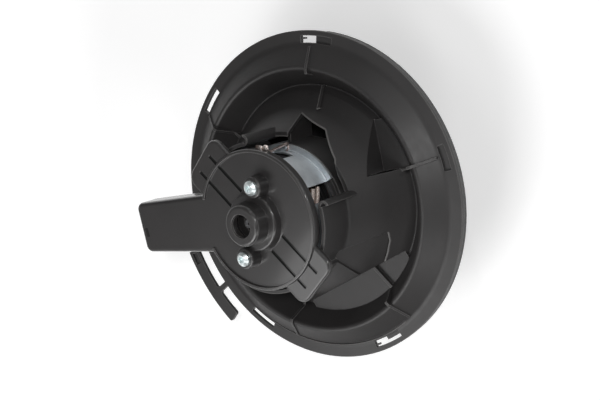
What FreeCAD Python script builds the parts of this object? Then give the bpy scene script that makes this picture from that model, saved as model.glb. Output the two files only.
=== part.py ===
import FreeCAD, Part
import math
import os

# Car cabin blower motor, in millimetres.
# The motor's axis is Z and +Z points to the motor's rear cover.
# The origin lies on that axis, in the plane of the mounting rim's outer face.
# X and Y lie in the rim's plane and the socket arm of the cover points along -X.

Vector = FreeCAD.Vector
AXIS = Vector(0, 0, 1)
ORIGIN = Vector(0, 0, 0)

# Clearances
fit_gap = 0.1            # pieces of one body that sit in each other
rest_gap = 0.3           # pieces that lie beside each other
running_gap = 0.04       # shaft in its bearings, radially

# Outside of the motor's steel body, which the well, the sleeve and the cover go round
can_r = 35.0

# Mounting flange, one black moulding
wall = 2.2
rim_r = 100.0
rim_thick = 2.4
crease_r = rim_r - 7.6   # where the flat rim turns into the cone
crease_bend = 6.0
ridge_r = crease_r - 13.2
ridge_z = 9.0
ridge_bend = 2.6
dome_foot_r = ridge_r - 10.8
trough_r = dome_foot_r + 0.8             # outer edge of the trough's narrow floor
trough_z = -6.0
dome_top_r = can_r + 9.0
dome_top_z = 26.0
dome_top_bend = 5.0
sleeve_top_z = 49.0
sleeve_cut_angles = (4.0, 91.0)
sleeve_cut_z = 24.0
sleeve_hook_r = 3.2
sleeve_hook_thick = 1.4
sleeve_hook_drop = 6.5                   # how far the hooks reach below the dome's top
sleeve_cut_reach = 8.0
arm_notch_gap = 1.0      # between the socket arm and the notch in the sleeve
well_r = can_r + 1.6     # inside of the round well that holds the motor
well_z = (-4.0, 23.0)
well_web_thick = 2.0
well_web_drop = 5.0      # from the well's top to the top of its webs
well_web_step = 45

# Bayonet slots in the rim: the open part and the sunk part of each, in degrees
slot_outer_r = rim_r - 2.9
slot_inner_r = slot_outer_r - 4.1
slot_step = 1.3
bayonet_slots = (((74.4, 80.4), (67.6, 74.4)), ((126.2, 137.0), None), (None, (4.5, 13.0)),
                 ((-74.7, -69.0), (-69.0, -62.4)), ((-135.0, -123.6), None), ((-180.0, -170.0), None))
slot_strip = (-69.0, -62.4)              # where only the outer side of a sunk part is open
slot_strip_width = 1.8
slot_teeth = ((78.6, 80.6), (-74.9, -73.0))
slot_tooth_width = 1.1
rim_groove_angles = (-125.0, -57.0)
rim_groove_width = 0.9
rim_groove_inset = 1.6                   # from the crease to the groove's inner side

# Flat recesses at the dome's foot: direction they face, distance of the wall, half-width
shelf_z = -4.0
recesses = ((-69.7, dome_top_r + 9.0, 40.0), (0.0, dome_top_r + 8.0, 14.7))
recess_shifts = (0.0, 26.2)
recess_reach = 30.0
shelf_rib_angle = -52.5
shelf_rib_r = 54.0
shelf_rib_height = 2.6
shelf_rib_thick = 1.8

# Opening in the dome beside the well, as an outline and the rounding of its corners
window_outline = ((14.5, 52.6), (31.5, 41.1), (39.2, 24.5), (40.4, 9.0), (30.0, 6.0), (8.0, 33.0))
window_corner = 2.0

# Sunk panel in the dome's outer face
panel_depth = 1.8
panel_outline = ((54.0, -21.8), (28.0, -27.0), (33.0, -52.0), (44.0, -50.0), (45.5, -40.0), (49.5, -34.0), (53.0, -27.0))

# Stiffening ribs that cross the trough: direction, sideways shift
ribs = ((9.5, 0.0), (137.0, 0.0), (187.0, 0.0), (-111.0, 0.0), (-54.0, 0.0))
short_rib = (90.0, -22.0)
short_rib_drop = 5.0                     # from the ridge to the short rib's lower end
rib_thick = 1.6
rib_height = 2.4
rib_outer_r = crease_r - 0.9
rib_root = 0.8           # how deep a rib sinks into the wall that it stands on
rib_crossing = 3.6       # height of a rib above the trough's floor
dome_rib_ends = ((21.6, 66.0), (24.8, 53.0))
dome_rib_height = 2.0

# Locking arm outside the rim
arm_width = 9.0
arm_mid_r = rim_r + 13.4
arm_thick = 2.2
arm_angles = (192.6, 220.2)
arm_corner = 1.6
arm_neck_angle = 209.5
arm_neck_width = 3.4
arm_neck_fillet = 1.6
arm_slot_angles = (1.0, 5.0)
arm_slot_walls = (2.2, 2.2)
arm_slot_depth = 1.3
catch_inset = 1.8
catch_height = 2.0
catch_angle = 2.0

# Foam seal under the rim
seal_thick = 3.2
seal_inner_r = slot_outer_r + 0.5
seal_outer_r = rim_r - 0.2
seal_slot_gap = 3.0      # in degrees, on both sides of a slot's open part

# Motor body
can_wall = 1.8
can_front_z = -13.0
can_rear_z = 46.0
can_corner = 3.4
can_flange_r = can_r + 3.5
can_flange_thick = 1.6
can_windows = ((6.5, 22.5, 22.0), (62.0, 86.0, 29.5))    # first and last angle, bottom
can_vent = (15.0, 25.0, 3.0)             # first and last radius, half-width
bearing_r = 7.4
bearing_length = 7.0
bearing_play = 0.05
bearing_bevel = 1.8
cup_wall = 1.8
cup_hole_gap = 1.5       # between the shaft and the hole in a bearing cup
front_cup_z = -20.0
retainer_thick = 0.5
retainer_width = 1.6
retainer_teeth = 6
magnet_thick = 5.6
magnet_z = (-3.0, 29.0)
magnet_span = 136.0
magnet_angles = (105.0, 285.0)
clip_thick = 1.0
clip_inset = 4.0
clip_leg_angle = 1.8
clip_leg_step = 0.6      # the legs stop this far short of the magnets' inner face
air_gap = 0.9
core_z = (0.0, 26.0)
slot_count = 12
slot_mouth = 1.8
slot_depths = (2.0, 11.0)                # from the core's rim, and radius of the slot's bottom
slot_half_widths = (4.2, 1.4)
winding_inset = 0.3
winding_r = 8.0
winding_rim = 2.2
winding_bevel = 2.2
winding_z = (-7.5, 33.5)
shaft_r = 3.0
shaft_z = (-43.5, 60.0)
shaft_chamfer = 0.5
shaft_flat = 0.6
press_gap = 0.02
commutator_r = 10.5
commutator_z = (35.4, 45.4)
commutator_bars = 12
commutator_wall = 4.1
bar_gap = 0.5
riser_size = 1.6
washer_thick = 1.0
washer_gap = 1.4
washer_radii = (5.0, 4.6)
brush_angles = (15.0, 195.0)

# Brush plate that closes the motor's rear
plate_r = can_r + 2.4
plate_z = (46.2, 48.4)
plate_hole_r = 11.5
plate_spigot = (2.0, 3.4)                # width and depth of the ring that enters the can
plate_spigot_angles = ((26.0, 192.0), (206.0, 372.0))
plate_pillar_wall = 2.2
plate_vent = (19.0, 26.0, 2.0)           # first and last radius, half-width
plate_vent_turn = 35.0
rear_cup_top_z = 58.0
terminals = ((77.0, 4.6), (69.5, 4.2))   # angle and reach past the plate
terminal_half_width = 1.6
terminal_thick = 0.8
strap_angles = (66.5, 74.5)              # at the brush plate and at the motor body's flange
strap_r = plate_r + 1.6
strap_width = 1.6
holder_height = 8.8
holder_width = 8.6
holder_wall = 0.8
holder_r = (13.0, can_r - 7.0)
holder_slit = 1.2
brush_length = 9.0
spring_wire_r = 0.35
spring_r = 2.75

# Chokes under the brush plate
choke_r = 2.7
choke_rod_r = 1.5
choke_length = 14.0
choke_circle_r = can_r - 13.0
choke_margin = 2.0        # bare rod at each end of a coil
choke_angles = (95.0, 275.0)

# Rear cover
cover_r = dome_top_r - 3.5
cover_face_z = 53.0
cover_lip = 1.3
cover_lip_width = 1.8
cover_lip_edge = 0.8
cover_wall = 2.2
cover_skirt_z = 49.6
wing_angle = 129.5
wing_half_width = 17.0
wing_reach = dome_top_r + 8.0
wing_corner = 6.5
wing_edge = 1.4
groove_offset = 6.3
groove_end = 6.0         # from the wing's tip
groove_width = 1.8
groove_depth = 0.7
boss_r = 12.3
boss_top_z = 66.8
boss_step_r = 16.5
boss_step_z = 57.5
boss_hole_r = 5.6
boss_hole_chamfer = 2.0
boss_roof = 4.0
boss_edge = 2.0
boss_step_edge = 1.4
screw_circle_r = 21.2
screw_angle = 67.0
screw_boss_r = 6.0
screw_boss_z = 60.8
screw_boss_edge = 0.9
screw_r = 2.0
screw_head_r = 4.15
screw_head_height = 2.8
screw_head_edge = 1.5
screw_play = 0.25
screw_tip_z = 43.0
star_r = 1.45
star_lobe_r = 0.62
star_circle_r = 1.35
star_depth = 1.7

# Socket arm of the cover
socket_x = -96.6
socket_end_y = (-12.6, 18.8)
socket_root_y = (-16.0, 18.4)
socket_corner = 4.5
socket_bottom_z = 38.0
socket_edge = 2.6
socket_depth = 16.0
socket_roof = 3.0
latch_notch = (1.6, 3.0, 2.2)            # near and far side from the end, half-width
blade_play = 0.05
blade_width = 6.3
blade_thick = 0.8
blade_reach = 8.0
blade_y = (-3.6, 8.7)
blade_inward = 7.0

# Fan wheel
blade_count = 42
blade_steps = 3
wheel_outer_r = 63.0
wheel_inner_r = wheel_outer_r - 13.0
wheel_z = (-54.0, -13.0)
wheel_blade_thick = 1.3
wheel_blade_bow = 3.4
wheel_blade_sweep = 4.5
wheel_ring = 2.0
wheel_ring_height = 4.0
wheel_ring_lip = 1.5
dish_wall = 2.0
hub_r = 8.0
hub_z = (-42.0, -24.5)
hub_wall = 5.0
nut_r = 6.0
nut_thick = 0.8
nut_slit = 1.0


def polar(radius, degrees, z=0.0):
    angle = math.radians(degrees)
    return Vector(radius * math.cos(angle), radius * math.sin(angle), z)


def rounded_wire(points, radii, straight=False):
    """A closed wire through the points, with an arc, or a straight cut, at each corner that has a radius."""
    edges = []
    ends = []
    count = len(points)
    for i, corner in enumerate(points):
        radius = radii.get(i, 0.0)
        before = (points[i - 1] - corner).normalize()
        after = (points[(i + 1) % count] - corner).normalize()
        if radius == 0.0:
            ends.append((corner, corner, None))
            continue
        half = before.getAngle(after) / 2
        run = radius / math.tan(half)
        middle_way = (before + after).normalize()
        middle = corner + middle_way * (radius / math.sin(half) - radius)
        ends.append((corner + before * run, corner + after * run, middle))
    for i, (start, end, middle) in enumerate(ends):
        if middle is not None:
            edges.append(Part.makeLine(start, end) if straight else Part.Arc(start, middle, end).toShape())
        following = ends[(i + 1) % count][0]
        if end.distanceToPoint(following) > 1e-6:
            edges.append(Part.makeLine(end, following))
    return Part.Wire(edges)


def revolved(profile, radii=None, straight=False):
    """The solid of revolution about Z of a profile given as (radius, z) points."""
    points = [Vector(r, 0, z) for r, z in profile]
    wire = rounded_wire(points, radii or {}, straight)
    return Part.Face(wire).revolve(ORIGIN, AXIS, 360)


def tube(outer, inner, low, high):
    return revolved([(inner, low), (outer, low), (outer, high), (inner, high)])


def rod(radius, low, high, x=0.0, y=0.0):
    return Part.makeCylinder(radius, high - low, Vector(x, y, low))


def sector(inner, outer, low, high, start, end):
    """A piece of a ring between two angles, counted anticlockwise from start to end."""
    points = [polar(inner, start), polar(outer, start), polar(outer, end), polar(inner, end)]
    middle = (start + end) / 2
    edges = [Part.makeLine(points[0], points[1]),
             Part.Arc(points[1], polar(outer, middle), points[2]).toShape(),
             Part.makeLine(points[2], points[3]),
             Part.Arc(points[3], polar(inner, middle), points[0]).toShape()]
    solid = Part.Face(Part.Wire(edges)).extrude(Vector(0, 0, high - low))
    solid.translate(Vector(0, 0, low))
    return solid


def block(x_range, y_range, z_range):
    size = [high - low for low, high in (x_range, y_range, z_range)]
    return Part.makeBox(*size, Vector(x_range[0], y_range[0], z_range[0]))


def prism(outline, low, high, radii=None):
    """An upright prism over an outline of (x, y) points."""
    wire = rounded_wire([Vector(x, y, low) for x, y in outline], radii or {})
    return Part.Face(wire).extrude(Vector(0, 0, high - low))


def radial_plate(profile, thick, degrees, shift=0.0):
    """A plate of the (radius, z) profile that stands along one radius, or beside it by a shift."""
    points = [Vector(math.sqrt(r ** 2 - shift ** 2), shift - thick / 2, z) for r, z in profile]
    solid = Part.Face(rounded_wire(points, {})).extrude(Vector(0, thick, 0))
    return turned(solid, degrees)


def turned(shape, degrees):
    copy = shape.copy()
    copy.rotate(ORIGIN, AXIS, degrees)
    return copy


def fused(shapes):
    return shapes[0].multiFuse(shapes[1:]).removeSplitter()


def circled(shape, count, start=0.0):
    return [turned(shape, start + 360.0 * i / count) for i in range(count)]


def export(name, solids):
    """Write one sub-part: a single solid, or a compound of separate ones."""
    shape = solids if isinstance(solids, Part.Shape) else Part.makeCompound(solids)
    count = len(shape.Solids)
    valid = shape.isValid()
    print(name, "solids", count, "valid", valid, "volume", round(shape.Volume / 1000, 2), "cm3")
    shape.exportStep(os.path.join("parts", name + ".step"))
    return shape


# Mounting flange

dome_lean = (dome_foot_r - dome_top_r) / (dome_top_z - trough_z)
dome_wall = wall * math.sqrt(1 + dome_lean ** 2)
trough_lean = (ridge_r - trough_r) / (ridge_z - trough_z)
trough_wall = wall * math.sqrt(1 + trough_lean ** 2)


def dome_r(z):
    """Outer radius of the dome at a height."""
    return dome_foot_r - (z - trough_z) * dome_lean


def trough_side_r(z):
    """Radius of the trough's outer side at a height."""
    return trough_r + (z - trough_z) * trough_lean


def flange_skin():
    """Rim, cone, trough, dome and sleeve as one revolved wall."""
    cone_drop = ridge_z / (crease_r - ridge_r)
    cone_wall = wall * math.sqrt(1 + cone_drop ** 2)
    crest_drop = (cone_wall + cone_drop * trough_wall) / (1 + cone_drop * trough_lean)
    sleeve_r = dome_top_r - wall
    inner_top_z = trough_z + (dome_foot_r - dome_wall - sleeve_r) / dome_lean
    below_r = dome_r(trough_z - wall) - dome_wall
    outline = [(rim_r, -rim_thick),
               (rim_r, 0.0),
               (crease_r, 0.0),
               (ridge_r, ridge_z),
               (trough_r, trough_z),
               (dome_foot_r, trough_z),
               (dome_top_r, dome_top_z),
               (dome_top_r, sleeve_top_z),
               (sleeve_r, sleeve_top_z),
               (sleeve_r, inner_top_z),
               (below_r, trough_z - wall),
               (trough_r + trough_wall - wall * trough_lean, trough_z - wall),
               (ridge_r + trough_wall - crest_drop * trough_lean, ridge_z - crest_drop),
               (crease_r - wall / 4, -rim_thick)]
    return revolved(outline, {2: crease_bend, 3: ridge_bend, 6: dome_top_bend})


def motor_well():
    """The round well for the motor and the webs that carry it inside the dome."""
    low, high = well_z
    outer = well_r + wall
    well = tube(outer, well_r, low, high)
    web_foot = low + 1.0
    web_top = high - well_web_drop
    reach = dome_wall / 2
    profile = [(outer - wall / 2, web_foot),
               (dome_r(web_foot) - reach, web_foot),
               (dome_r(web_top) - reach, web_top),
               (outer - wall / 2, web_top)]
    webs = [radial_plate(profile, well_web_thick, angle) for angle in range(80, 360, well_web_step)]
    return [well] + webs


def stiffening_ribs():
    """Ribs that run up the cone, cross the trough low down and end on the dome, and a short one."""
    crossing_z = trough_z + rib_crossing
    crest_z = ridge_z + rib_height / 2
    root_z = trough_z - rib_root
    short_z = ridge_z - short_rib_drop
    cone_part = [(ridge_r, ridge_z - rib_root),
                 (rib_outer_r, 0.2),
                 (rib_outer_r, rib_height * 0.7),
                 (ridge_r, crest_z),
                 (ridge_r - rib_height, crest_z)]
    crossing = [(trough_side_r(crossing_z) - rib_root, crossing_z),
                (dome_r(crossing_z) - rib_root, crossing_z),
                (dome_foot_r - rib_root, root_z),
                (trough_r + rib_root, root_z)]
    short_end = [(trough_side_r(short_z) - rib_root / 2, short_z),
                 (trough_side_r(short_z) + rib_root, short_z)]
    plates = [radial_plate(cone_part + crossing, rib_thick, angle, shift) for angle, shift in ribs]
    return plates + [radial_plate(cone_part + short_end, rib_thick, *short_rib)]


def dome_rib():
    """The short rib on the dome that carries on from the rib beside the window."""
    start = Vector(*dome_rib_ends[0], 0)
    end = Vector(*dome_rib_ends[1], 0)
    way = (end - start).normalize()
    side = Vector(-way.y, way.x, 0) * (rib_thick / 2)
    outline = [start - side, end - side, end + side, start + side]
    strip = prism([(point.x, point.y) for point in outline], trough_z, dome_top_z)
    return strip.common(dome_solid(-dome_rib_height)).cut(dome_solid(dome_wall / 2))


def shelf_rib():
    """A low rib on the flat shelf at the lower right of the dome."""
    start, end = shelf_rib_r, trough_side_r(shelf_z) + rib_root
    low, high = shelf_z - rib_root, shelf_z + shelf_rib_height
    profile = [(start, low), (end, low), (end, high), (start, high)]
    return radial_plate(profile, shelf_rib_thick, shelf_rib_angle)


def cooling_window():
    """The faceted opening in the dome beside the well."""
    low, high = trough_z - 2 * wall, sleeve_top_z
    opening = prism(window_outline, low, high, {1: window_corner, 2: window_corner})
    return opening.cut(rod(well_r + wall, low - 1, high + 1))


def dome_solid(inset):
    """A solid cone that lies a step, measured along the radius, inside the dome's outer face."""
    low, high = trough_z - 2 * wall, dome_top_z + 2 * wall
    outline = [(0.0, low), (dome_r(low) - inset, low), (dome_r(high) - inset, high), (0.0, high)]
    return revolved(outline)


def recess_block(index, near, far, low, high):
    """The space beyond a distance from the axis, in the direction that a recess faces."""
    degrees, distance, half_width = recesses[index]
    middle = recess_shifts[index]
    sides = (middle - half_width, middle + half_width)
    return turned(block((distance + near, distance + far), sides, (low, high)), degrees)


def recess_fillings():
    """The wall and the flat floor of each recess at the dome's foot."""
    pieces = []
    high = dome_top_z
    for index in range(len(recesses)):
        behind = recess_block(index, -wall, 0.0, shelf_z - wall, high)
        pieces.append(behind.common(dome_solid(dome_wall / 4)).cut(panel_cut()))
        floor = recess_block(index, -wall, recess_reach, shelf_z - wall, shelf_z)
        pieces.append(floor.common(rod(trough_side_r(shelf_z) + rib_root, shelf_z - wall - 1, shelf_z + 1)))
    return pieces


def recess_cuts():
    inside = rod(trough_side_r(shelf_z), shelf_z, dome_top_z)
    return [recess_block(index, 0.0, recess_reach, shelf_z, dome_top_z).common(inside)
            for index in range(len(recesses))]


def panel_prism():
    return prism(panel_outline, shelf_z + rib_root, sleeve_top_z)


def panel_cut():
    """What the sunk panel takes away from the dome's outer face."""
    return panel_prism().cut(dome_solid(panel_depth))


def panel_backing():
    """The dome's wall behind the sunk panel."""
    return panel_prism().common(dome_solid(panel_depth)).cut(dome_solid(panel_depth + dome_wall))


def bayonet_cuts():
    """The rim's slots, their sunk ends, and the narrow groove along the lower part of the cone."""
    through = -rim_thick - 1
    cuts = [sector(slot_outer_r - slot_strip_width, slot_outer_r, through, 1, *slot_strip)]
    for opening, sunk in bayonet_slots:
        if opening:
            cuts.append(sector(slot_inner_r, slot_outer_r, through, 1, *opening))
        if sunk:
            cuts.append(sector(slot_inner_r, slot_outer_r, -slot_step, 1, *sunk))
    groove_r = crease_r - rim_groove_inset
    cuts.append(sector(groove_r, groove_r + rim_groove_width, -rim_groove_width / 4, ridge_z, *rim_groove_angles))
    return cuts


def slot_stops():
    """The small teeth at the ends of the two long slots."""
    middle = (slot_inner_r + slot_outer_r) / 2
    return [sector(middle, middle + slot_tooth_width, -rim_thick, -slot_step / 2, *angles) for angles in slot_teeth]


def locking_arm():
    """The flexible arm outside the rim, on its short neck, with a catch at one end."""
    inner = arm_mid_r - arm_width / 2
    outer = arm_mid_r + arm_width / 2
    start, end = arm_angles
    neck_half = math.degrees(arm_neck_width / 2 / rim_r)
    arm = sector(inner, outer, -arm_thick, 0.0, start, end)
    neck = sector(rim_r - 1.0, inner + 0.5, -arm_thick, 0.0, arm_neck_angle - neck_half, arm_neck_angle + neck_half)
    arm = fused([arm, neck])
    arm = arm.makeFillet(arm_neck_fillet, upright_edges(arm, inner, arm_neck_angle))
    arm = arm.makeFillet(arm_corner, upright_edges(arm, inner, end) + upright_edges(arm, outer, end))
    slot_walls = (inner + arm_slot_walls[0], outer - arm_slot_walls[1])
    slot_angles = [start + angle for angle in arm_slot_angles]
    arm = arm.cut(sector(*slot_walls, -arm_slot_depth, 1, *slot_angles))
    catch_end = end - catch_angle / 2
    catch = sector(inner + catch_inset, outer - catch_inset, -arm_thick - catch_height, -arm_thick,
                   catch_end - catch_angle, catch_end)
    return [arm, catch]


def upright_edges(shape, radius, degrees):
    """The upright edges of a shape near a place in plan."""
    found = []
    for edge in shape.Edges:
        box = edge.BoundBox
        angle = math.degrees(math.atan2(box.YMin, box.XMin)) % 360
        upright = box.XLength < 0.01 and box.YLength < 0.01
        at_radius = abs(math.hypot(box.XMin, box.YMin) - radius) < 0.2
        if upright and at_radius and abs(angle - degrees) < 2.0:
            found.append(edge)
    return found


def sleeve_cuts():
    """The open side of the sleeve and the notch for the socket arm."""
    over = sleeve_top_z + wall
    reach = dome_top_r + sleeve_cut_reach
    open_side = sector(dome_top_r - 2 * wall, reach, sleeve_cut_z, over, *sleeve_cut_angles)
    sides = (socket_root_y[0] - arm_notch_gap, socket_root_y[1] + arm_notch_gap)
    notch = block((-dome_top_r - 2, -dome_top_r / 2), sides, (socket_bottom_z - arm_notch_gap, over))
    return [open_side, notch]


def mounting_flange():
    cuts = recess_cuts() + [panel_cut(), cooling_window()] + sleeve_cuts() + bayonet_cuts()
    body = fused([flange_skin()] + motor_well() + stiffening_ribs() + [panel_backing()])
    body = body.cut(Part.makeCompound(cuts))
    return fused([body, shelf_rib(), dome_rib()] + sleeve_hooks() + recess_fillings() + locking_arm() + slot_stops())


def sleeve_hooks():
    """Half-round hooks that the sleeve turns outwards into at both ends of its open side."""
    hooks = []
    low, high = dome_top_z - sleeve_hook_drop, sleeve_top_z
    outer, inner = sleeve_hook_r, sleeve_hook_r - sleeve_hook_thick
    middle_r = dome_top_r - wall + sleeve_hook_r
    for angle, turn in zip(sleeve_cut_angles, (0.0, 180.0)):
        hook = sector(inner, outer, low, high, angle + turn, angle + turn + 180.0)
        hook.translate(polar(middle_r, angle))
        hooks.append(hook)
    return hooks


def foam_seal():
    """Foam strips under the rim's edge, between the slots that go right through."""
    low, high = -rim_thick - seal_thick, -rim_thick
    ring = tube(seal_outer_r, seal_inner_r, low, high)
    cuts = []
    for opening, sunk in bayonet_slots:
        if opening:
            start, end = opening[0] - seal_slot_gap, opening[1] + seal_slot_gap
            cuts.append(sector(seal_inner_r - 1, seal_outer_r + 1, low - 1, high + 1, start, end))
    return ring.cut(Part.makeCompound(cuts))


# Rear cover

def edges_at(shape, z):
    """The edges of a shape that lie in its top face, at a height."""
    return [edge for edge in shape.Edges if edge.BoundBox.ZMin > z - 0.01]


def cover_wings():
    """The flat bar across the cover whose rounded ends stand out as two wings."""
    reach, side = wing_reach, wing_half_width
    outline = [(-reach, -side), (reach, -side), (reach, side), (-reach, side)]
    bar = prism(outline, cover_skirt_z, cover_face_z, {corner: wing_corner for corner in range(4)})
    bar = bar.makeFillet(wing_edge, edges_at(bar, cover_face_z))
    return turned(bar, wing_angle)


def socket_outline(inset, end_x, root_x):
    """Plan of the arm, which widens a little towards the cover, as (x, y) points."""
    def side(index, x):
        share = (x - socket_x) / (-cover_r - socket_x)
        return socket_end_y[index] + (socket_root_y[index] - socket_end_y[index]) * share
    return [(end_x, side(0, end_x) + inset), (root_x, side(0, root_x) + inset),
            (root_x, side(1, root_x) - inset), (end_x, side(1, end_x) - inset)]


def socket_arm():
    """The hollow arm that carries the supply socket out past the rim."""
    root_x = -cover_r / 2
    outline = socket_outline(0.0, socket_x, root_x)
    arm = prism(outline, socket_bottom_z, cover_face_z, {0: socket_corner, 3: socket_corner})
    rim = [edge for edge in edges_at(arm, cover_face_z) if edge.BoundBox.XMin < root_x - 1]
    return arm.makeFillet(socket_edge, rim)


def socket_hollows():
    """The socket's mouth, the duct behind it, the latch notch and the slits for the blades."""
    back_x = socket_x + socket_depth + cover_wall
    floor_z = socket_bottom_z + cover_wall
    mouth = prism(socket_outline(cover_wall, socket_x - 1, socket_x + socket_depth), floor_z, cover_face_z - socket_roof)
    duct = prism(socket_outline(cover_wall, back_x, -cover_r / 2),
                 socket_bottom_z - 1, cover_face_z - cover_wall)
    middle = sum(socket_end_y) / 2
    near, far, half = latch_notch
    notch = block((socket_x + near, socket_x + far), (middle - half, middle + half),
                  (cover_face_z - socket_roof - 1, cover_face_z + 1))
    half_width = blade_width / 2 + blade_play
    half_thick = blade_thick / 2 + blade_play
    slits = [block((socket_x, back_x + 1), (y - half_width, y + half_width),
                   (blade_z() - half_thick, blade_z() + half_thick)) for y in blade_y]
    return [mouth, duct, notch] + slits


def blade_z():
    """Height of the supply blades, in the middle of the socket's mouth."""
    return (socket_bottom_z + cover_face_z) / 2 - 0.4


def screw_places():
    return [polar(screw_circle_r, angle) for angle in (screw_angle, screw_angle + 180)]


def cover_disc():
    """The round face with its low skirt and raised lip, open towards the socket arm."""
    face, lip = cover_face_z, cover_face_z + cover_lip
    inner_r = cover_r - cover_lip_width
    disc = revolved([(0, cover_skirt_z), (cover_r, cover_skirt_z), (cover_r, lip), (inner_r, lip),
                     (inner_r, face), (0, face)], {2: cover_lip_edge})
    sides = (socket_root_y[0] + socket_edge, socket_root_y[1] - socket_edge)
    return disc.cut(block((-cover_r - 5, -cover_r / 2), sides, (face, lip + 1)))


def cover_boss():
    """The stepped boss in the middle, with softened edges."""
    foot = cover_face_z - 1
    return revolved([(0, foot), (boss_step_r + 1.5, foot), (boss_step_r, boss_step_z), (boss_r, boss_step_z),
                     (boss_r - 0.6, boss_top_z), (0, boss_top_z)], {2: boss_step_edge, 4: boss_edge})


def screw_posts():
    foot = cover_face_z - 1
    posts = []
    for place in screw_places():
        post = Part.makeCone(screw_boss_r + 0.5, screw_boss_r, screw_boss_z - foot, Vector(place.x, place.y, foot))
        posts.append(post.makeFillet(screw_boss_edge, edges_at(post, screw_boss_z)))
    return posts


def rear_cover():
    solid = fused([cover_disc(), cover_wings(), socket_arm(), cover_boss()] + screw_posts())
    cuts = boss_hollows() + screw_holes() + cover_grooves() + socket_hollows() + wing_pockets()
    return solid.cut(Part.makeCompound(cuts))


def boss_hollows():
    """The inside of the cover and its boss, and the bevelled hole in the boss's top."""
    inside_r = cover_r - cover_wall
    roof = cover_face_z - cover_wall
    cup_room = bearing_r + fit_gap + cup_wall + 0.8
    low = socket_bottom_z - 1
    boss_roof_z = boss_top_z - boss_roof
    bevel_z = boss_top_z - boss_hole_chamfer
    inside = revolved([(0, low), (inside_r, low), (inside_r, roof), (cup_room, roof),
                       (cup_room, boss_roof_z), (0, boss_roof_z)])
    hole = revolved([(0, boss_roof_z - 1), (boss_hole_r, boss_roof_z - 1), (boss_hole_r, bevel_z),
                     (boss_hole_r + boss_hole_chamfer, boss_top_z), (boss_hole_r + boss_hole_chamfer, boss_top_z + 1),
                     (0, boss_top_z + 1)])
    return [inside, hole]


def screw_holes():
    low = cover_face_z - 2 * cover_wall
    return [rod(screw_r + screw_play, low, screw_boss_z + 1, place.x, place.y) for place in screw_places()]


def cover_grooves():
    """Two shallow grooves along each wing, with round ends, that leave the lip whole."""
    grooves = []
    lip = tube(cover_r + 0.1, cover_r - cover_lip_width, cover_skirt_z, cover_face_z + cover_lip + 2)
    for turn in (0.0, 180.0):
        for offset in (-groove_offset, groove_offset):
            sides = (offset - groove_width / 2, offset + groove_width / 2)
            depth = (cover_face_z - groove_depth, cover_face_z + cover_lip + 1)
            end = wing_reach - groove_end
            groove = fused([block((boss_step_r + 1.0, end), sides, depth), rod(groove_width / 2, *depth, end, offset)])
            grooves.append(turned(groove, wing_angle + turn).cut(lip))
    return grooves


def wing_pockets():
    """The hollows under the wings, outside the sleeve."""
    side = wing_half_width - cover_wall
    pocket = block((dome_top_r + 1.5, wing_reach - cover_wall), (-side, side),
                   (cover_skirt_z - 1, cover_face_z - cover_wall))
    return [turned(pocket, wing_angle + turn) for turn in (0.0, 180.0)]


def star_recess(place):
    """The six lobed recess in a screw's head."""
    low = screw_boss_z + screw_head_height - star_depth
    high = screw_boss_z + screw_head_height + 1
    lobes = [polar(star_circle_r, 60 * i) + place for i in range(6)]
    return fused([rod(star_r, low, high, place.x, place.y)]
                 + [rod(star_lobe_r, low, high, lobe.x, lobe.y) for lobe in lobes])


def cover_screws():
    """Two pan head screws, each with a star recess."""
    screws = []
    for place in screw_places():
        top_z = screw_boss_z + screw_head_height
        head = rod(screw_head_r, screw_boss_z, top_z, place.x, place.y)
        head = head.makeChamfer(screw_head_edge, edges_at(head, top_z))
        shank = rod(screw_r, screw_tip_z, screw_boss_z + 0.5, place.x, place.y)
        screws.append(fused([head, shank]).cut(star_recess(place)))
    return screws


# Motor

def motor_can():
    """The deep drawn steel body with its front bearing cup, its flange and its side windows."""
    inner = can_r - can_wall
    flange_low = well_z[1] + fit_gap
    flange_high = flange_low + can_flange_thick
    cup_r = bearing_r + fit_gap
    outline = [(can_r, can_rear_z), (inner, can_rear_z), (inner, can_front_z + can_wall),
               (cup_r, can_front_z + can_wall), (cup_r, front_cup_z + can_wall),
               (shaft_r + cup_hole_gap, front_cup_z + can_wall), (shaft_r + cup_hole_gap, front_cup_z),
               (cup_r + cup_wall, front_cup_z), (cup_r + cup_wall, can_front_z), (can_r, can_front_z),
               (can_r, flange_low), (can_flange_r, flange_low), (can_flange_r, flange_high), (can_r, flange_high)]
    body = revolved(outline, {9: can_corner})
    cuts = []
    for turn in (0.0, 180.0):
        for start, end, low in can_windows:
            cuts.append(sector(inner - 1, can_flange_r + 1, low, can_rear_z + 1, start + turn, end + turn))
    near, far, half = can_vent
    vent = block((near, far), (-half, half), (can_front_z - 1, can_front_z + can_wall + 1))
    return body.cut(Part.makeCompound(cuts + circled(vent, 3, 60.0)))


def magnets():
    outer = can_r - can_wall - fit_gap
    inner = outer - magnet_thick
    return [sector(inner, outer, *magnet_z, angle - magnet_span / 2, angle + magnet_span / 2)
            for angle in magnet_angles]


def magnet_clips():
    """Bent spring strips that press the two magnets apart."""
    outer = can_r - can_wall - fit_gap
    leg_r = outer - magnet_thick + clip_leg_step
    low, high = magnet_z[0] + clip_inset, magnet_z[1] - clip_inset
    half_gap = (180.0 - magnet_span) / 2 - 0.4
    clips = []
    for magnet_angle in magnet_angles:
        start = magnet_angle - 90.0 - half_gap
        end = magnet_angle - 90.0 + half_gap
        bow = sector(outer - clip_thick, outer, low, high, start + 0.6, end - 0.6)
        legs = [sector(leg_r, outer, low, high, start, start + clip_leg_angle),
                sector(leg_r, outer, low, high, end - clip_leg_angle, end)]
        clips.append(fused([bow] + legs))
    return clips


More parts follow.
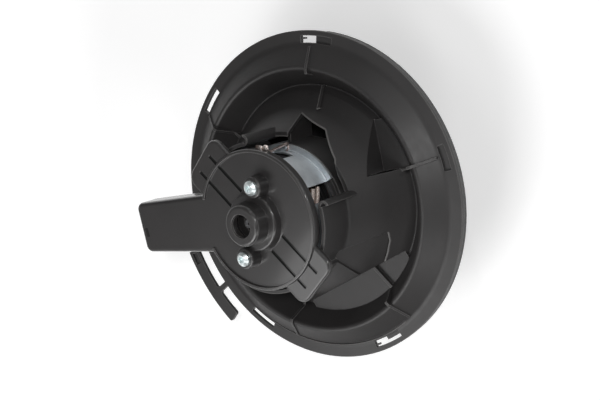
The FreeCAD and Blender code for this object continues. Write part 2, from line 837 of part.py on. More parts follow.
def bearing(low):
    """A sintered bush with rounded ends."""
    high = low + bearing_length
    bore = shaft_r + running_gap
    corners = {1: bearing_bevel, 2: bearing_bevel}
    return revolved([(bore, low), (bearing_r, low), (bearing_r, high), (bore, high)], corners, straight=True)


def front_bearing():
    return bearing(front_cup_z + can_wall + bearing_play)


def rear_bearing():
    return bearing(rear_cup_top_z - cup_wall - bearing_length - bearing_play)


def bearing_retainers():
    """Star washers that hold the bushes in their cups."""
    front_low = front_cup_z + can_wall + bearing_length + 2 * bearing_play
    rear_low = rear_cup_top_z - cup_wall - bearing_length - 2 * bearing_play - retainer_thick
    washers = []
    for low in (front_low, rear_low):
        high = low + retainer_thick
        ring = tube(bearing_r + fit_gap / 2, bearing_r - retainer_width, low, high)
        tooth = block((shaft_r + 2.0, bearing_r - retainer_width + 0.4), (-0.9, 0.9), (low, high))
        washers.append(fused([ring] + circled(tooth, retainer_teeth)))
    return washers


def shaft():
    low, high = shaft_z
    corners = {1: shaft_chamfer, 2: shaft_chamfer}
    body = revolved([(0, low), (shaft_r, low), (shaft_r, high), (0, high)], corners, straight=True)
    flat = block((shaft_r - shaft_flat, shaft_r + 1), (-shaft_r, shaft_r), (low - 1, hub_z[1]))
    return body.cut(flat)


def core_r():
    return can_r - can_wall - fit_gap - magnet_thick - air_gap


def armature_core():
    """The laminated stack with its open slots."""
    low, high = core_z
    stack = tube(core_r(), shaft_r + press_gap, low, high)
    mouth = block((core_r() - slot_depths[0] - 1, core_r() + 1), (-slot_mouth / 2, slot_mouth / 2), (low - 1, high + 1))
    cuts = circled(slot_shape(low - 1, high + 1), slot_count) + circled(mouth, slot_count)
    return stack.cut(Part.makeCompound(cuts))


def slot_shape(low, high, inset=0.0):
    """One winding slot, wide near the rim and narrow near the shaft."""
    outer = core_r() - slot_depths[0] - inset
    inner = slot_depths[1] + inset
    wide = slot_half_widths[0] - inset
    narrow = slot_half_widths[1] - inset / 2
    return prism([(inner, -narrow), (outer, -wide), (outer, wide), (inner, narrow)], low, high)


def armature_windings():
    """Copper in the slots and the wound heads at both ends of the stack."""
    outer = core_r() - winding_rim
    corners = {1: winding_bevel, 2: winding_bevel}
    heads = []
    for low, high in ((winding_z[0], core_z[0] - fit_gap), (core_z[1] + fit_gap, winding_z[1])):
        heads.append(revolved([(winding_r, low), (outer, low), (outer, high), (winding_r, high)], corners, straight=True))
    bar = slot_shape(core_z[0] - 1.5, core_z[1] + 1.5, winding_inset)
    return fused(heads + circled(bar, slot_count))


def commutator():
    """Copper bars on an insulating sleeve, with a riser at the winding side."""
    low, high = commutator_z
    inner = commutator_r - commutator_wall
    riser_r = commutator_r + riser_size
    body = revolved([(inner, low), (riser_r, low), (riser_r, low + riser_size), (commutator_r, low + riser_size),
                     (commutator_r, high), (inner, high)])
    gap = block((commutator_r - 1.2, riser_r + 1), (-bar_gap / 2, bar_gap / 2), (low - 1, high + 1))
    return body.cut(Part.makeCompound(circled(gap, commutator_bars)))


def commutator_sleeve():
    low, high = commutator_z
    return tube(commutator_r - commutator_wall - press_gap, shaft_r + press_gap, low - 1.2, high - 0.8)


def thrust_washers():
    front_low = front_cup_z + can_wall + bearing_length + washer_gap
    rear_low = commutator_z[1] + washer_gap / 2
    return [tube(outer, shaft_r + fit_gap, low, low + washer_thick)
            for outer, low in zip(washer_radii, (front_low, rear_low))]


def brush_plate():
    """The moulded plate at the motor's rear, with the bearing cup and screw pillars."""
    low, high = plate_z
    cup_r = bearing_r + fit_gap
    cup_outer = cup_r + cup_wall
    cup_hole = shaft_r + cup_hole_gap
    cup_roof = rear_cup_top_z - cup_wall
    body = revolved([(plate_hole_r, low), (plate_r, low), (plate_r, high), (cup_outer, high),
                     (cup_outer, rear_cup_top_z), (cup_hole, rear_cup_top_z), (cup_hole, cup_roof),
                     (cup_r, cup_roof), (cup_r, high - 0.6), (plate_hole_r, high - 1.4)])
    pieces = [body]
    spigot_r = can_r - can_wall - fit_gap
    spigot_width, spigot_depth = plate_spigot
    for start, end in plate_spigot_angles:
        pieces.append(sector(spigot_r - spigot_width, spigot_r, low - spigot_depth, low + 0.5, start, end))
    pillar_top = cover_face_z - cover_wall - rest_gap
    for place in screw_places():
        pieces.append(rod(screw_r + plate_pillar_wall, screw_tip_z - 1.0, pillar_top, place.x, place.y))
    holes = [rod(screw_r + fit_gap / 2, screw_tip_z - 2, cover_face_z, place.x, place.y) for place in screw_places()]
    near, far, half = plate_vent
    for angle in brush_angles:
        holes.append(turned(block((near, far), (-half, half), (low - 1, high + 1)), angle + plate_vent_turn))
    return fused(pieces).cut(Part.makeCompound(holes))


def holder_z():
    """Bottom and top of the brush holders, which hang under the plate."""
    return (plate_z[0] - holder_height, plate_z[0])


def brush_holders():
    """Folded brass boxes, open towards the commutator, with a stop at the far end."""
    low, high = holder_z()
    half = holder_width / 2
    inside = half - holder_wall
    near, far = holder_r
    box = block(holder_r, (-half, half), (low, high))
    room = block((near - 1, far + 1), (-inside, inside), (low + holder_wall, high - holder_wall))
    slit = block((near + 3, far + 1), (-holder_slit, holder_slit), (low - 1, low + holder_wall + 0.1))
    stop = block((far - holder_wall, far), (-half, half), (low, high))
    window = block((far - holder_wall - 1, far + 1), (-half / 2, half / 2), (low + half / 2, high - half / 2))
    holder = box.cut(room).cut(slit).fuse(stop).cut(window).removeSplitter()
    return [turned(holder, angle) for angle in brush_angles]


def brushes():
    """Carbon blocks with a curved face towards the commutator."""
    low, high = holder_z()
    margin = holder_wall + fit_gap
    half = holder_width / 2 - margin
    start = commutator_r + rest_gap
    brush = block((start, start + brush_length), (-half, half), (low + margin, high - margin))
    brush = brush.cut(rod(start, low - 1, high + 1))
    return [turned(brush, angle) for angle in brush_angles]


def brush_springs():
    """The space of each coil spring, between a brush and its holder's end."""
    low, high = holder_z()
    start = commutator_r + rest_gap + brush_length + rest_gap
    length = holder_r[1] - holder_wall - rest_gap - start
    outside = Part.makeCylinder(spring_r, length, Vector(start, 0, (low + high) / 2), Vector(1, 0, 0))
    inside = Part.makeCylinder(spring_r - 2 * spring_wire_r, length, Vector(start, 0, (low + high) / 2), Vector(1, 0, 0))
    return [turned(outside.cut(inside), angle) for angle in brush_angles]


def supply_blades():
    """Two flat strips from the socket to the brush plate."""
    low = blade_z() - blade_thick / 2
    top = plate_z[1] + blade_thick
    tips = socket_x + blade_reach
    strips = []
    for y in blade_y:
        sides = (y - blade_width / 2, y + blade_width / 2)
        bend = -math.sqrt((plate_r + rest_gap) ** 2 - (abs(y) - blade_width / 2) ** 2)
        lying = block((tips, bend), sides, (low, low + blade_thick))
        rising = block((bend - blade_thick, bend), sides, (low, top))
        inward = block((bend - blade_thick, bend + blade_inward), sides, (plate_z[1], top))
        strips.append(fused([lying, rising, inward]))
    return strips


def plate_terminals():
    """Copper tabs at the edge of the brush plate, and the earth strap from it to the motor's flange."""
    low, high = plate_z[1], plate_z[1] + terminal_thick
    tabs = []
    for angle, reach in terminals:
        tab = block((plate_r - 4.0, plate_r + reach), (-terminal_half_width, terminal_half_width), (low, high))
        tabs.append(turned(tab, angle))
    return tabs + [earth_strap()]


def earth_strap():
    """A strip that leans along the motor's side, with an inward foot at both ends."""
    top_angle, foot_angle = strap_angles
    foot_low = well_z[1] + fit_gap + can_flange_thick
    top = plate_z[1] + terminal_thick
    half = strap_width / 2
    length = top - foot_low
    sideways = math.radians(foot_angle - top_angle) * strap_r
    lean = math.degrees(math.atan2(sideways, length))
    strip = block((strap_r, strap_r + terminal_thick), (-half, half), (foot_low, top))
    strip.rotate(Vector(strap_r, 0, (foot_low + top) / 2), Vector(1, 0, 0), lean)
    strip = turned(strip, (top_angle + foot_angle) / 2)
    strip = strip.common(tube(strap_r + 2, strap_r - 2, foot_low, top))
    upper = turned(block((plate_r - 2.0, strap_r + terminal_thick), (-half, half), (plate_z[1], top)), top_angle)
    lower = turned(block((can_r + fit_gap, strap_r + terminal_thick), (-half, half),
                         (foot_low, foot_low + terminal_thick)), foot_angle)
    return fused([strip, upper, lower])


def choke_starts():
    """Where each ferrite rod starts, close under the brush plate, and the way that it points."""
    height = plate_z[0] - choke_r - fit_gap
    return [(polar(choke_circle_r, angle, height), polar(1.0, angle + 90)) for angle in choke_angles]


def choke_cores():
    return [Part.makeCylinder(choke_rod_r, choke_length, start, way) for start, way in choke_starts()]


def choke_coils():
    """Wound copper round the ferrite rods."""
    coils = []
    length = choke_length - 2 * choke_margin
    for start, way in choke_starts():
        foot = start + way * choke_margin
        outer = Part.makeCylinder(choke_r, length, foot, way)
        coils.append(outer.cut(Part.makeCylinder(choke_rod_r + fit_gap, length, foot, way)))
    return coils


def rubber_sleeve():
    """The rubber ring that holds the motor in its well."""
    low, high = well_z
    return tube(well_r - fit_gap / 2, can_r + fit_gap / 2, low + 1.0, high - 1.5)


# Fan wheel

def fan_blade():
    """One forward curved blade, bowed in flat steps between the wheel's two radii."""
    inner, outer = wheel_inner_r, wheel_outer_r - wheel_ring / 2
    start = polar(inner, 0)
    end = polar(outer, wheel_blade_sweep)
    pull = (start + end) / 2 + Vector(0, -2 * wheel_blade_bow, 0)
    half = wheel_blade_thick / 2
    line = []
    for step in range(blade_steps + 1):
        t = step / blade_steps
        line.append(start * (1 - t) ** 2 + pull * 2 * t * (1 - t) + end * t ** 2)
    outline = [(point.x, point.y + half) for point in line] + [(point.x, point.y - half) for point in reversed(line)]
    return prism(outline, wheel_z[0] + wheel_ring / 4, wheel_z[1] - wheel_ring / 4)


def fan_wheel():
    """Hub, dish, blades and the two end rings, one moulding."""
    low, high = wheel_z
    hub_low, hub_high = hub_z
    bore = shaft_r + press_gap
    dish_r = wheel_inner_r - 1
    dish = revolved([(bore, hub_low), (hub_r, hub_low), (hub_r, hub_high - hub_wall),
                     (dish_r, high - dish_wall), (wheel_outer_r, high - dish_wall), (wheel_outer_r, high),
                     (dish_r, high), (hub_r - 1, hub_high), (bore, hub_high)])
    ring_top = low + wheel_ring_height
    inlet = revolved([(wheel_outer_r - wheel_ring - wheel_ring_lip, low), (wheel_outer_r, low),
                      (wheel_outer_r, ring_top), (wheel_outer_r - wheel_ring, ring_top)])
    return fused([dish, inlet] + circled(fan_blade(), blade_count))


def wheel_clip():
    """The push-on spring nut under the wheel's hub."""
    high = hub_z[0] - 0.05
    low = high - nut_thick
    ring = tube(nut_r, shaft_r + 0.05, low, high)
    slit = block((0, nut_r - 1.0), (-nut_slit / 2, nut_slit / 2), (low - 1, high + 1))
    return ring.cut(Part.makeCompound(circled(slit, 3)))


def main():
    os.makedirs("parts", exist_ok=True)
    builders = [mounting_flange, foam_seal, rear_cover, cover_screws, motor_can, magnets, magnet_clips,
                front_bearing, rear_bearing, bearing_retainers, shaft, armature_core, armature_windings,
                commutator, commutator_sleeve, thrust_washers, brush_plate, brush_holders, brushes,
                brush_springs, supply_blades, plate_terminals, choke_cores, choke_coils, rubber_sleeve,
                fan_wheel, wheel_clip]
    for builder in builders:
        export(builder.__name__, builder())


main()
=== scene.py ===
import math

import bpy
import numpy as np
from mathutils import Matrix, Vector


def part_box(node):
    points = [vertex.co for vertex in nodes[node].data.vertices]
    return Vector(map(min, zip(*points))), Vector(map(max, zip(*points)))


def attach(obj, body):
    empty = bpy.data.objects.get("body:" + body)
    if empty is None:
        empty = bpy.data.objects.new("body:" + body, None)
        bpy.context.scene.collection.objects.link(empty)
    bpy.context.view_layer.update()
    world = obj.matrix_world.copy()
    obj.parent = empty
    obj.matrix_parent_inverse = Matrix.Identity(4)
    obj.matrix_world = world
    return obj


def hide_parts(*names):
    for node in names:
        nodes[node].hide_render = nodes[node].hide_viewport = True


# A car's cabin blower motor in its round mounting flange, seen from the cover's side.
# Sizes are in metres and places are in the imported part's own frame:
# the motor's axis is Z, +Z points to the rear cover and the socket arm points along -X.

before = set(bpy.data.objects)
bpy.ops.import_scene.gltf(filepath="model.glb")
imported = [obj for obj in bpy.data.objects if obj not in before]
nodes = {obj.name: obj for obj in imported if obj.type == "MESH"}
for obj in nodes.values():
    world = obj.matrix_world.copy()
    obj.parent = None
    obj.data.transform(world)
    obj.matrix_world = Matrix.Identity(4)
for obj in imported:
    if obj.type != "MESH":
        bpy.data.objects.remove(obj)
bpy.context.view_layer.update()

MM = 0.001

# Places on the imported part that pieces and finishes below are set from
cover_face_z = 53.0 * MM
wheel_foot_z = -54.0 * MM
boss_top_z = 66.8 * MM
boss_hole_r = 5.6 * MM
boss_bevel_r = 7.6 * MM
wing_angle = 129.5


# Shader helpers

class Level:
    """A number that changes over a surface. Python's operators on it add Math nodes."""

    def __init__(self, finish, socket):
        self.finish = finish
        self.socket = socket

    def math(self, operation, *terms):
        node = self.finish.node("ShaderNodeMath", {"operation": operation}, dict(enumerate(terms)))
        return Level(self.finish, node.outputs[0])

    def __add__(self, other):
        return self.math("ADD", self, other)

    def __sub__(self, other):
        return self.math("SUBTRACT", self, other)

    def __rsub__(self, other):
        return self.math("SUBTRACT", other, self)

    def __mul__(self, other):
        return self.math("MULTIPLY", self, other)

    def __pow__(self, other):
        return self.math("POWER", self, other)

    def __abs__(self):
        return self.math("ABSOLUTE", self)

    __radd__ = __add__
    __rmul__ = __mul__

    def between(self, low, high):
        """0 below low, 1 above high and a straight slope from one to the other."""
        inputs = {"Value": self, "From Min": low, "From Max": high}
        node = self.finish.node("ShaderNodeMapRange", {"clamp": True}, inputs)
        return Level(self.finish, node.outputs[0])


class Finish:
    """One material, with short ways to lay out its nodes."""

    def __init__(self, name, **constants):
        self.material = bpy.data.materials.new(name)
        self.material.use_nodes = True
        self.tree = self.material.node_tree
        self.shader = self.tree.nodes["Principled BSDF"]
        for socket, value in constants.items():
            self.feed(self.shader.inputs[socket.replace("_", " ")], value)
        self.place = self.node("ShaderNodeTexCoord").outputs["Object"]

    def feed(self, socket, value):
        """Link a level or a socket to a socket, or set it to a constant or a colour."""
        value = value.socket if isinstance(value, Level) else value
        if isinstance(value, bpy.types.NodeSocket):
            self.tree.links.new(value, socket)
        elif socket.type == "RGBA":
            socket.default_value = (*value, 1.0)
        else:
            socket.default_value = value

    def node(self, kind, settings=None, inputs=None):
        """A node of a kind with its settings, and with values or links for its inputs."""
        made = self.tree.nodes.new(kind)
        for name, value in (settings or {}).items():
            setattr(made, name, value)
        for name, value in (inputs or {}).items():
            self.feed(made.inputs[name], value)
        return made

    def stretched(self, x=1.0, y=1.0, z=1.0):
        """The object's coordinates with each axis scaled, for grain that runs one way."""
        inputs = {"Vector": self.place, "Scale": (x, y, z)}
        return self.node("ShaderNodeMapping", None, inputs).outputs[0]

    def noise(self, size, detail=2.0, place=None):
        """Soft noise whose blobs are about a size across, in metres."""
        inputs = {"Vector": place or self.place, "Scale": 1 / size, "Detail": detail}
        return Level(self, self.node("ShaderNodeTexNoise", None, inputs).outputs["Fac"])

    def cells(self, size):
        """Distance within cells that are about a size across."""
        inputs = {"Vector": self.place, "Scale": 1 / size}
        return Level(self, self.node("ShaderNodeTexVoronoi", None, inputs).outputs["Distance"])

    def axis(self, letter):
        """One coordinate of the surface, in metres."""
        node = self.node("ShaderNodeSeparateXYZ", None, {"Vector": self.place})
        return Level(self, node.outputs[letter])

    def from_axis(self):
        """The surface's distance from the motor's axis, in metres."""
        return (self.axis("X") ** 2 + self.axis("Y") ** 2) ** 0.5

    def mixed(self, share, first, second):
        """A colour between two colours."""
        node = self.node("ShaderNodeMix", {"data_type": "RGBA"})
        for name, value in (("Factor", share), ("A", first), ("B", second)):
            socket = next(s for s in node.inputs if s.name == name and s.enabled)
            self.feed(socket, value)
        return next(s for s in node.outputs if s.enabled)

    def colour(self, value):
        self.feed(self.shader.inputs["Base Color"], value)

    def roughness(self, value):
        self.feed(self.shader.inputs["Roughness"], value)

    def bump(self, height, depth, normal=None):
        """Relief of a depth in metres from a height between 0 and 1. Returns the finished material."""
        inputs = {"Height": height, "Distance": depth, "Strength": 1.0}
        node = self.node("ShaderNodeBump", None, inputs)
        if normal is not None:
            self.feed(node.inputs["Normal"], normal)
        self.feed(self.shader.inputs["Normal"], node.outputs[0])
        return self.material


# Finishes

def plastic_surface(finish, tone, rough, grain, edge_r, shade=0.0):
    """Colour, gloss and relief of the plastic, with a painted highlight along its convex edges. A shade
    of 1 makes it dark and dull; that darkness is painted shade.
    """
    dark = (tone * 0.88, tone * 0.85, tone * 0.85)
    pale = (tone * 1.3, tone * 1.2, tone * 1.2)
    # Colour of the painted highlight along convex edges
    wear_and_painted_highlight = (tone * 6.0, tone * 5.8, tone * 5.7)
    grey_dust = (0.16, 0.155, 0.15)
    # Colour of the painted shade
    painted_shade_black = (0.004, 0.004, 0.004)
    flow = finish.noise(22 * MM, 3.0)
    speck = finish.noise(0.9 * MM, 1.0).between(0.70, 0.80)
    dust = finish.noise(9 * MM, 4.0).between(0.45, 0.85)
    handling = finish.noise(5 * MM, 5.0, finish.stretched(1.0, 1.0, 3.0))
    shell = finish.node("ShaderNodeAmbientOcclusion", {"inside": True, "only_local": True, "samples": 6},
                        {"Distance": 0.9 * MM})
    # Painted highlight: convex edges, found by the occlusion inside the shell, are coloured lighter
    edge = (1 - Level(finish, shell.outputs["AO"])).between(0.2, 0.6)
    dusty = finish.mixed(speck * dust * 0.35, finish.mixed(flow, dark, pale), grey_dust)
    with_painted_highlight = finish.mixed(edge, dusty, wear_and_painted_highlight)
    finish.colour(finish.mixed(shade, with_painted_highlight, painted_shade_black))
    finish.roughness(rough - 0.05 + handling * 0.12 + speck * 0.1 + shade * 0.6)
    relief = finish.noise(grain, 2.0) * 0.8 + flow * 0.2
    soft_edges = finish.node("ShaderNodeBevel", {"samples": 6}, {"Radius": edge_r})
    return finish.bump(relief, 0.012 * MM, soft_edges.outputs[0])


def moulded_plastic(name, tone, grain):
    """Black glass filled plastic with a fine mould grain, faint flow marks and a little dust."""
    finish = Finish(name, IOR=1.5)
    return plastic_surface(finish, tone, rough=0.46, grain=grain, edge_r=0.7 * MM)


def cover_plastic():
    """The same plastic, glossier, with painted shade darkening the two shallow grooves along each wing
    and a narrow band beside them.
    """
    groove_offset = 6.3 * MM
    groove_half = 0.9 * MM
    groove_start = 17.3 * MM
    groove_end = 46.4 * MM
    groove_depth = 0.9 * MM
    finish = Finish("cover_plastic", IOR=1.5, Coat_Weight=0.6, Coat_Roughness=0.09)
    turned = finish.node("ShaderNodeVectorRotate", {"rotation_type": "Z_AXIS"},
                         {"Vector": finish.place, "Angle": -math.radians(wing_angle)})
    parts = finish.node("ShaderNodeSeparateXYZ", None, {"Vector": turned.outputs[0]})
    along = abs(Level(finish, parts.outputs["X"]))
    across = abs(Level(finish, parts.outputs["Y"]))
    strip = 1 - abs(across - groove_offset).between(groove_half, groove_half + 0.6 * MM)
    from_start = along.between(groove_start, groove_start + 0.3 * MM)
    to_end = 1 - along.between(groove_end, groove_end + 0.6 * MM)
    to_face = 1 - finish.axis("Z").between(cover_face_z + 0.05 * MM, cover_face_z + 0.15 * MM)
    floor_z = cover_face_z - groove_depth
    from_floor = finish.axis("Z").between(floor_z, floor_z + 0.1 * MM)
    # Painted shade: the grooves and a narrow band beside them are darkened
    painted_groove_shade = strip * from_start * to_end * to_face * from_floor
    return plastic_surface(finish, 0.028, rough=0.38, grain=0.35 * MM, edge_r=0.8 * MM, shade=painted_groove_shade)


def open_foam():
    """Grey open cell foam, its skin cut through so that the pores show, with painted shade darkening the
    pores.
    """
    finish = Finish("open_foam", Roughness=0.95)
    pores = finish.cells(1.1 * MM)
    fine = finish.cells(0.45 * MM)
    depth = (pores * 0.7 + fine * 0.3).between(0.05, 0.6)
    wear_and_painted_highlight = finish.noise(12 * MM, 3.0)
    body = finish.mixed(wear_and_painted_highlight, (0.10, 0.10, 0.10), (0.15, 0.15, 0.148))
    # Painted shade: the pores are coloured near black
    finish.colour(finish.mixed((1 - depth) * 0.75, body, (0.03, 0.03, 0.03)))
    return finish.bump(depth, 0.35 * MM)


def zinc_plate():
    """Bright blue zinc on steel screws."""
    finish = Finish("zinc_plate", Metallic=1.0)
    sheen = finish.noise(2.2 * MM, 2.0)
    finish.colour(finish.mixed(sheen, (0.74, 0.86, 0.88), (0.95, 0.97, 0.96)))
    finish.roughness(0.34 + finish.noise(0.6 * MM, 3.0) * 0.16)
    return finish.bump(finish.noise(0.3 * MM, 2.0), 0.006 * MM)


def can_steel():
    """Drawn steel with a clear plating outside; its inner surfaces inside the motor are coloured near
    black as painted shade.
    """
    bore_r = 33.9 * MM
    outside_r = 34.3 * MM
    finish = Finish("can_steel", Metallic=1.0)
    rings = finish.noise(0.5 * MM, 3.0, finish.stretched(0.04, 0.04, 1.0))
    stain = finish.noise(11 * MM, 4.0)
    above_bottom = finish.axis("Z").between(4 * MM, 6 * MM)
    # Painted shade: the can's inner surfaces above its bottom are coloured near black
    inside = (1 - finish.from_axis().between(bore_r, outside_r)) * above_bottom
    plated = finish.mixed(stain.between(0.3, 0.7), (0.58, 0.62, 0.65), (0.78, 0.82, 0.85))
    finish.colour(finish.mixed(inside, plated, (0.03, 0.027, 0.025)))
    finish.roughness(0.40 + rings * 0.14 + stain * 0.1)
    return finish.bump(rings, 0.01 * MM)


def shaft_steel():
    """Ground steel, coloured far darker than bare steel as painted shade for its end deep in the boss
    hole, with a small dark dot at the centre of its end.
    """
    finish = Finish("shaft_steel", Metallic=1.0)
    rings = finish.noise(0.3 * MM, 3.0, finish.stretched(0.04, 0.04, 1.0))
    mark = 1 - finish.from_axis().between(0.6 * MM, 0.9 * MM)
    # Painted shade: the steel's colour is kept far darker than bare steel
    ground = finish.mixed(rings, (0.10, 0.10, 0.105), (0.20, 0.20, 0.21))
    finish.colour(finish.mixed(mark, ground, (0.02, 0.02, 0.02)))
    finish.roughness(0.38 + rings * 0.15)
    return finish.bump(rings, 0.008 * MM)


def bare_sheet(name, tone, rough=0.34):
    """Pressed sheet metal with light handling marks."""
    finish = Finish(name, Metallic=1.0)
    marks = finish.noise(1.6 * MM, 5.0, finish.stretched(1.0, 4.0, 1.0))
    tarnish = finish.noise(4.5 * MM, 3.0).between(0.35, 0.75)
    finish.colour(finish.mixed(tarnish, tone, [c * 0.6 for c in tone]))
    finish.roughness(rough + marks * 0.18)
    return finish.bump(marks, 0.012 * MM)


def stacked_sheet():
    """Edges of the thin sheets in the armature's core."""
    finish = Finish("stacked_sheet", Metallic=1.0)
    edges = finish.noise(0.5 * MM, 0.0, finish.stretched(0.02, 0.02, 1.0))
    finish.colour(finish.mixed(edges.between(0.35, 0.65), (0.10, 0.10, 0.105), (0.30, 0.30, 0.31)))
    finish.roughness(0.42 + edges * 0.2)
    return finish.bump(edges, 0.05 * MM)


def wound_copper(name):
    """Enamelled copper wire in tight turns."""
    finish = Finish(name, Metallic=1.0, Coat_Weight=0.6)
    turns = finish.noise(0.6 * MM, 1.0, finish.stretched(1.0, 0.15, 1.0))
    finish.colour(finish.mixed(turns.between(0.35, 0.65), (0.30, 0.10, 0.035), (0.72, 0.33, 0.16)))
    finish.roughness(0.26 + turns * 0.2)
    return finish.bump(turns, 0.12 * MM)


def even_grain(name, tone, rough=0.55, metal=0.0):
    """A pressed or sintered body with a fine even grain."""
    finish = Finish(name, Metallic=metal)
    grain = finish.noise(0.22 * MM, 2.0)
    finish.colour(finish.mixed(grain, [c * 0.75 for c in tone], tone))
    finish.roughness(rough + grain * 0.15)
    return finish.bump(grain, 0.02 * MM)


def woven_wire():
    """Tinned copper strands plaited into a soft lead, with painted shade darkening it deep inside the
    motor.
    """
    finish = Finish("woven_wire", Metallic=0.35)
    plait = finish.cells(0.55 * MM)
    strands = finish.noise(0.2 * MM, 2.0)
    bright = finish.mixed(strands, (0.80, 0.72, 0.66), (0.96, 0.94, 0.90))
    wear_and_painted_highlight = finish.mixed(plait.between(0.2, 0.8), bright, (0.42, 0.30, 0.24))
    # Painted shade: the lead is coloured darker away from the window, deep inside the motor
    near_window = finish.axis("Y").between(1 * MM, 6 * MM)
    finish.colour(finish.mixed(near_window, (0.30, 0.21, 0.19), wear_and_painted_highlight))
    finish.roughness(0.3 + plait * 0.2)
    return finish.bump(1 - plait, 0.12 * MM)


def soft_rubber():
    """Black rubber with a pale bloom in patches."""
    finish = Finish("soft_rubber")
    bloom = finish.noise(7 * MM, 4.0)
    finish.colour(finish.mixed(bloom.between(0.4, 0.8), (0.018, 0.018, 0.018), (0.05, 0.05, 0.048)))
    finish.roughness(0.62 + bloom * 0.2)
    return finish.bump(finish.noise(0.5 * MM, 3.0), 0.02 * MM)


bronze_tone = (0.52, 0.34, 0.16)
plastic = moulded_plastic("moulded_plastic", tone=0.025, grain=0.35 * MM)
# Near black finish for the flat patch of painted shade that stands for the socket arm's slot
painted_slot_shade = even_grain("painted_slot_shade", (0.006, 0.006, 0.006), 0.75)
copper = bare_sheet("bare_copper", (0.80, 0.40, 0.24), 0.28)
enamelled_wire = bare_sheet("enamelled_wire", (0.62, 0.27, 0.13), 0.24)
spring_steel = bare_sheet("spring_steel", (0.42, 0.43, 0.45), 0.3)
solder = bare_sheet("solder", (0.94, 0.84, 0.79), 0.3)
plaited = woven_wire()
finishes = {
    "mounting_flange": plastic,
    "rear_cover": cover_plastic(),
    "brush_plate": plastic,
    "fan_wheel": moulded_plastic("wheel_plastic", tone=0.02, grain=0.3 * MM),
    "foam_seal": open_foam(),
    "rubber_sleeve": soft_rubber(),
    "cover_screws": zinc_plate(),
    "motor_can": can_steel(),
    "shaft": shaft_steel(),
    "magnets": even_grain("ferrite", (0.05, 0.05, 0.055)),
    "magnet_clips": spring_steel,
    "front_bearing": even_grain("oiled_bronze", bronze_tone, 0.35, 1.0),
    "rear_bearing": even_grain("rear_bronze", bronze_tone, 0.35, 1.0),
    "bearing_retainers": spring_steel,
    "wheel_clip": spring_steel,
    "armature_core": stacked_sheet(),
    "armature_windings": wound_copper("wound_copper"),
    "commutator": copper,
    "commutator_sleeve": even_grain("brown_resin", (0.16, 0.07, 0.035), 0.4),
    "thrust_washers": even_grain("washer_resin", (0.14, 0.09, 0.05), 0.45),
    "brush_holders": bare_sheet("brass_sheet", (0.72, 0.52, 0.22)),
    "brushes": even_grain("graphite", (0.035, 0.035, 0.037), 0.4),
    "brush_springs": spring_steel,
    "supply_blades": bare_sheet("tinned_sheet", (0.78, 0.76, 0.72), 0.25),
    "plate_terminals": bare_sheet("tinned_copper", (0.78, 0.62, 0.56), 0.26),
    "choke_cores": even_grain("choke_ferrite", (0.04, 0.04, 0.043)),
    "choke_coils": wound_copper("choke_copper"),
}
for name, finish in finishes.items():
    nodes[name].data.materials.clear()
    nodes[name].data.materials.append(finish)


# Modelling helpers

def edit(piece):
    """Make one piece the only selected one and open it for editing."""
    if bpy.context.mode != "OBJECT":
        bpy.ops.object.mode_set(mode="OBJECT")
    bpy.ops.object.select_all(action="DESELECT")
    piece.select_set(True)
    bpy.context.view_layer.objects.active = piece
    bpy.ops.object.mode_set(mode="EDIT")


def close_edit():
    """Leave editing, so that the piece's mesh holds what was done."""
    bpy.ops.object.mode_set(mode="OBJECT")


def settle():
    """Bake the selected piece's place, turn and scale into its points."""
    bpy.ops.object.transform_apply(location=True, rotation=True, scale=True)


def dress(piece, smooth_angle, finish):
    """Shade the selected piece, give it its finish and let it ride on the housing."""
    bpy.ops.object.shade_smooth_by_angle(angle=math.radians(smooth_angle))
    piece.data.materials.append(finish)
    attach(piece, "housing")


def round_axis(radius, degrees, height=0.0):
    """A place given by its distance from the motor's axis, its direction and its height."""
    angle = math.radians(degrees)
    return Vector((radius * math.cos(angle), radius * math.sin(angle), height))


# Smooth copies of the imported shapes

def turned_normals(points):
    """Each triangle's area and the normals at its corners. On a shape that is turned about the
    motor's axis, the corners take the true curve's direction."""
    widest_facet = math.radians(9.5)
    same_plane = 0.01 * MM
    across = np.cross(points[:, 1] - points[:, 0], points[:, 2] - points[:, 0])
    area = np.linalg.norm(across, axis=1)
    facing = across / np.maximum(area, 1e-20)[:, None]
    from_axis = points[:, :, :2]
    middle = from_axis.mean(axis=1)
    outward = np.where((facing[:, :2] * middle).sum(axis=1) < 0, -1.0, 1.0)
    level = np.hypot(facing[:, 0], facing[:, 1])
    way = np.arctan2(facing[:, 1] * outward, facing[:, 0] * outward)
    corner_way = np.arctan2(from_axis[:, :, 1], from_axis[:, :, 0])
    reach = np.abs(np.angle(np.exp(1j * (corner_way - way[:, None])))).max(axis=1)
    offset = (facing * points[:, 0]).sum(axis=1) / same_plane
    plane = np.column_stack([facing * 1000, offset]).round()
    flat_face = np.unique(plane, axis=0, return_inverse=True)[1].ravel()
    widest = np.zeros(flat_face.max() + 1)
    np.maximum.at(widest, flat_face, reach)
    turned = (widest[flat_face] < widest_facet) & (level > 0.01)
    normals = np.repeat(facing[:, None, :], 3, axis=1)
    radial = (level * outward)[turned, None]
    normals[turned, :, 0] = radial * np.cos(corner_way[turned])
    normals[turned, :, 1] = radial * np.sin(corner_way[turned])
    return area, normals


def pull_ring(piece, radius, height, new_radius, new_height):
    """Move a ring of points about the motor's axis to another radius and height."""
    close_by = 0.05 * MM
    edit(piece)
    bpy.ops.mesh.select_all(action="DESELECT")
    close_edit()
    for point in piece.data.vertices:
        place = point.co
        point.select = abs(math.hypot(place.x, place.y) - radius) + abs(place.z - height) < close_by
    edit(piece)
    share = new_radius / radius
    bpy.ops.transform.resize(value=(share, share, 1.0), center_override=(0, 0, 0))
    bpy.ops.transform.translate(value=(0, 0, new_height - height))
    close_edit()


